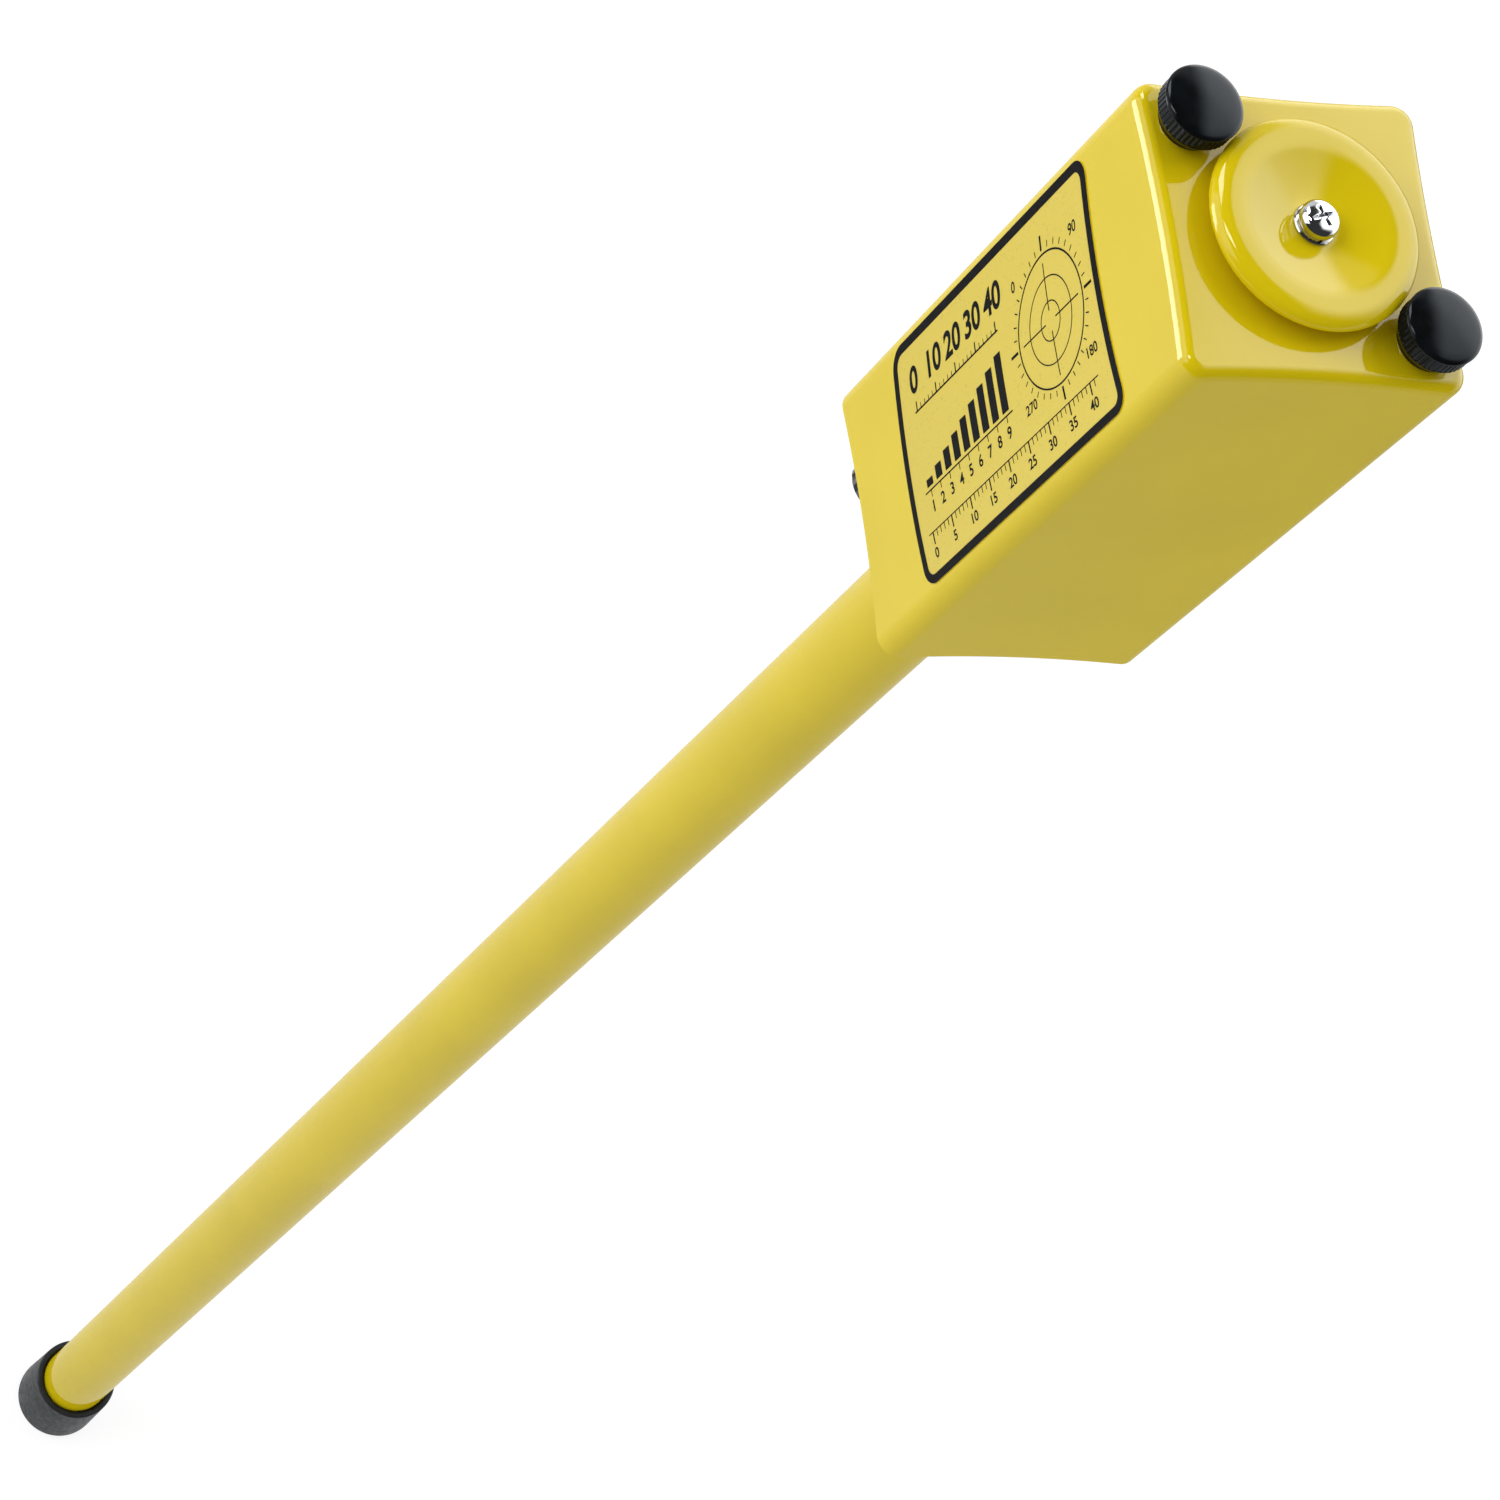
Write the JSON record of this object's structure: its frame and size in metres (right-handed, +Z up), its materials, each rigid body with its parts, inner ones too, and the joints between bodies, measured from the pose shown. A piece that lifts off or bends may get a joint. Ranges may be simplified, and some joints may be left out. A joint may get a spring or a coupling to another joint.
{
  "type": "magnetic locator",
  "caption": "Hand-held sensing wand with a square electronics box, dished sound deflector, thumb screws, control knobs and a capped tip.",
  "frame": {"origin": "centre of the tip cap's underside, on the wand's axis", "axes": "+Z up the wand from its tip to the electronics box; -Y out of the box's labelled face; +X to the right of someone who looks at the label"},
  "size_m": [0.0698, 0.0701, 1.0757],
  "materials": {
    "yellow_paint": "gloss",
    "label_print": "satin",
    "black_plastic": "gloss",
    "black_cap": "satin",
    "black_plate": "satin",
    "chromed_steel": "polished",
    "spring_steel": "satin",
    "frame_metal": "satin",
    "control_case": "satin",
    "cell_jacket": "satin",
    "black_moulding": "matte",
    "board_green": "satin",
    "foam_black": "matte",
    "white_nylon": "satin",
    "enamelled_wire": "satin",
    "cable_jacket": "satin",
    "speaker_metal": "satin",
    "speaker_paper": "matte"
  },
  "bodies": {
    "chassis": {"tip_cap": "black_cap", "wand_tube": "yellow_paint", "tip_bumper": "foam_black", "sensor_carrier": "white_nylon", "lower_sensor_bobbin": "white_nylon", "lower_sensor_winding": "enamelled_wire", "upper_sensor_bobbin": "white_nylon", "upper_sensor_winding": "enamelled_wire", "centring_rings": "foam_black", "cable_plug": "foam_black", "sensor_cable": "cable_jacket", "tube_seal": "foam_black", "end_plate": "black_plate", "cover_gasket": "foam_black", "tube_collar": "frame_metal", "collar_screws": "spring_steel", "front_rail": "frame_metal", "rear_rail": "frame_metal", "rail_screws": "spring_steel", "speaker_shelf": "frame_metal", "standoffs": "spring_steel", "circuit_board": "board_green", "board_components": "black_moulding", "left_battery_holder": "black_moulding", "right_battery_holder": "black_moulding", "left_cells": "cell_jacket", "right_cells": "cell_jacket", "battery_contacts": "spring_steel", "battery_leads": "cable_jacket", "speaker_leads": "cable_jacket", "control_leads": "cable_jacket", "speaker_frame": "speaker_metal", "speaker_cone": "speaker_paper", "speaker_magnet": "speaker_metal", "speaker_gasket": "foam_black", "volume_control": "control_case", "volume_nut": "spring_steel", "sensitivity_switch": "control_case", "sensitivity_nut": "spring_steel"},
    "cover_body": {"cover": "yellow_paint", "label": "label_print", "sound_deflector": "yellow_paint", "deflector_screw": "chromed_steel", "deflector_lock_washer": "spring_steel", "deflector_washer": "chromed_steel", "deflector_nut": "spring_steel", "screw_retainers": "white_nylon"},
    "left_washer_body": {"left_thumb_washer": "spring_steel"},
    "left_screw_body": {"left_thumb_screw": "spring_steel", "left_thumb_head": "black_plastic"},
    "right_washer_body": {"right_thumb_washer": "spring_steel"},
    "right_screw_body": {"right_thumb_screw": "spring_steel", "right_thumb_head": "black_plastic"},
    "volume_body": {"volume_shaft": "spring_steel", "volume_knob": "black_plastic", "volume_set_screw": "spring_steel"},
    "sensitivity_body": {"sensitivity_shaft": "spring_steel", "sensitivity_knob": "black_plastic", "sensitivity_set_screw": "spring_steel"}
  },
  "joints": [
    {"name": "cover_slide", "type": "slide", "parent": "chassis", "child": "cover_body", "axis": [0, 0, 1], "range_m": [0, 0.15]},
    {"name": "left_screw_lift", "type": "slide", "parent": "cover_body", "child": "left_washer_body", "axis": [0, 0, 1], "range_m": [0, 0.00635]},
    {"name": "left_screw_turn", "type": "hinge", "parent": "left_washer_body", "child": "left_screw_body", "pos_m": [-0.0244, -0.0244, 1.065], "axis": [0, 0, 1], "range_deg": [0, 1800]},
    {"name": "right_screw_lift", "type": "slide", "parent": "cover_body", "child": "right_washer_body", "axis": [0, 0, 1], "range_m": [0, 0.00635]},
    {"name": "right_screw_turn", "type": "hinge", "parent": "right_washer_body", "child": "right_screw_body", "pos_m": [0.0244, 0.0244, 1.065], "axis": [0, 0, 1], "range_deg": [0, 1800]},
    {"name": "volume_turn", "type": "hinge", "parent": "chassis", "child": "volume_body", "pos_m": [-0.01643, -0.02029, 0.9045], "axis": [0, 0, 1], "range_deg": [0, 300]},
    {"name": "sensitivity_turn", "type": "hinge", "parent": "chassis", "child": "sensitivity_body", "pos_m": [0.01643, 0.02029, 0.9045], "axis": [0, 0, 1], "range_deg": [0, 120]}
  ],
  "couplings": [
    {"joint": "left_screw_turn", "follows": "left_screw_lift", "rad_per_m": 4947.4},
    {"joint": "right_screw_turn", "follows": "right_screw_lift", "rad_per_m": 4947.4}
  ]
}
